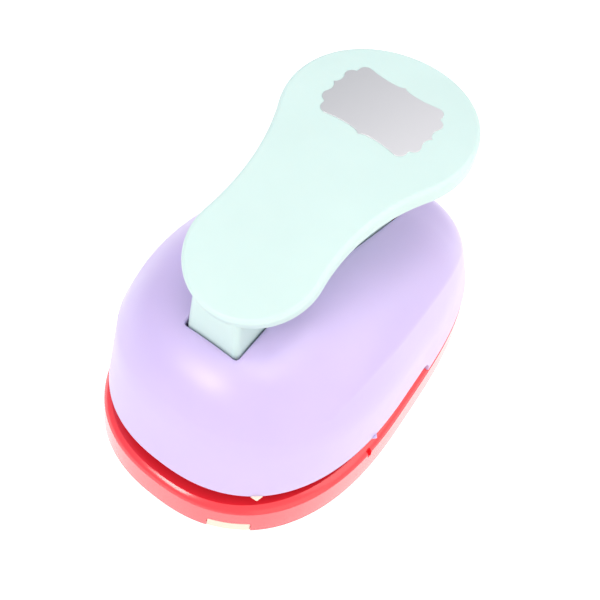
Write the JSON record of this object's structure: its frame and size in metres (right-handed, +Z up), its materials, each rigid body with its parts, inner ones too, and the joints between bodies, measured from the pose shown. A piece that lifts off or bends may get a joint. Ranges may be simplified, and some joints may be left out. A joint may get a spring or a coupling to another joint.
{
  "type": "lever craft punch",
  "caption": "Lever-action craft punch: an oval moulded body with a paper slot round its front half and a peanut-shaped thumb lever with a bracket-edged label.",
  "frame": {"origin": "on the table under the middle of the body's length and width", "axes": "+Z up; -Y the front, where paper goes in; +Y the lever's wide end; +X the user's right when facing along +Y"},
  "size_m": [0.0764, 0.1176, 0.0786],
  "materials": {
    "red_plastic": "glossy moulded",
    "cream_plastic": "satin moulded",
    "lavender_plastic": "glossy moulded",
    "mint_plastic": "satin moulded",
    "silver_label": "matt foil",
    "tool_steel": "ground",
    "spring_steel": "drawn wire",
    "carrier_plastic": "satin moulded"
  },
  "bodies": {
    "body": {"base": "red_plastic", "chip_tray": "cream_plastic", "housing": "lavender_plastic", "pivot_pin": "tool_steel", "pivot_clip_left": "tool_steel", "pivot_clip_right": "tool_steel", "die_plate": "tool_steel", "throat_spacer": "tool_steel", "guide_plate": "tool_steel", "guide_post_front_left": "tool_steel", "guide_post_front_right": "tool_steel", "guide_post_rear_left": "tool_steel", "guide_post_rear_right": "tool_steel", "return_spring_front_left": "spring_steel", "return_spring_front_right": "spring_steel", "return_spring_rear_left": "spring_steel", "return_spring_rear_right": "spring_steel", "housing_screw_front_left": "tool_steel", "housing_screw_front_right": "tool_steel", "housing_screw_rear_left": "tool_steel", "housing_screw_rear_right": "tool_steel", "tool_screw_left": "tool_steel", "tool_screw_right": "tool_steel", "guide_screw_left": "tool_steel", "guide_screw_right": "tool_steel", "die_screw_left": "tool_steel", "die_screw_right": "tool_steel"},
    "lever_arm": {"lever": "mint_plastic", "lever_label": "silver_label"},
    "punch": {"punch_block": "tool_steel", "punch_carrier": "carrier_plastic", "wear_plate": "tool_steel", "carrier_screw_left": "tool_steel", "carrier_screw_right": "tool_steel"}
  },
  "joints": [
    {"name": "lever_hinge", "type": "hinge", "parent": "body", "child": "lever_arm", "pos_m": [0, -0.0344, 0.0375], "axis": [-1, 0, 0], "range_deg": [0, 14], "stiffness_Nm_per_rad": 0.54, "springref_deg": -17.19},
    {"name": "punch_slide", "type": "slide", "parent": "body", "child": "punch", "axis": [0, 0, -1], "range_m": [0, 0.0047], "deforming": ["return_spring_front_left", "return_spring_front_right", "return_spring_rear_left", "return_spring_rear_right"]}
  ],
  "couplings": [
    {"joint": "punch_slide", "follows": "lever_hinge", "m_per_rad": 0.019}
  ]
}
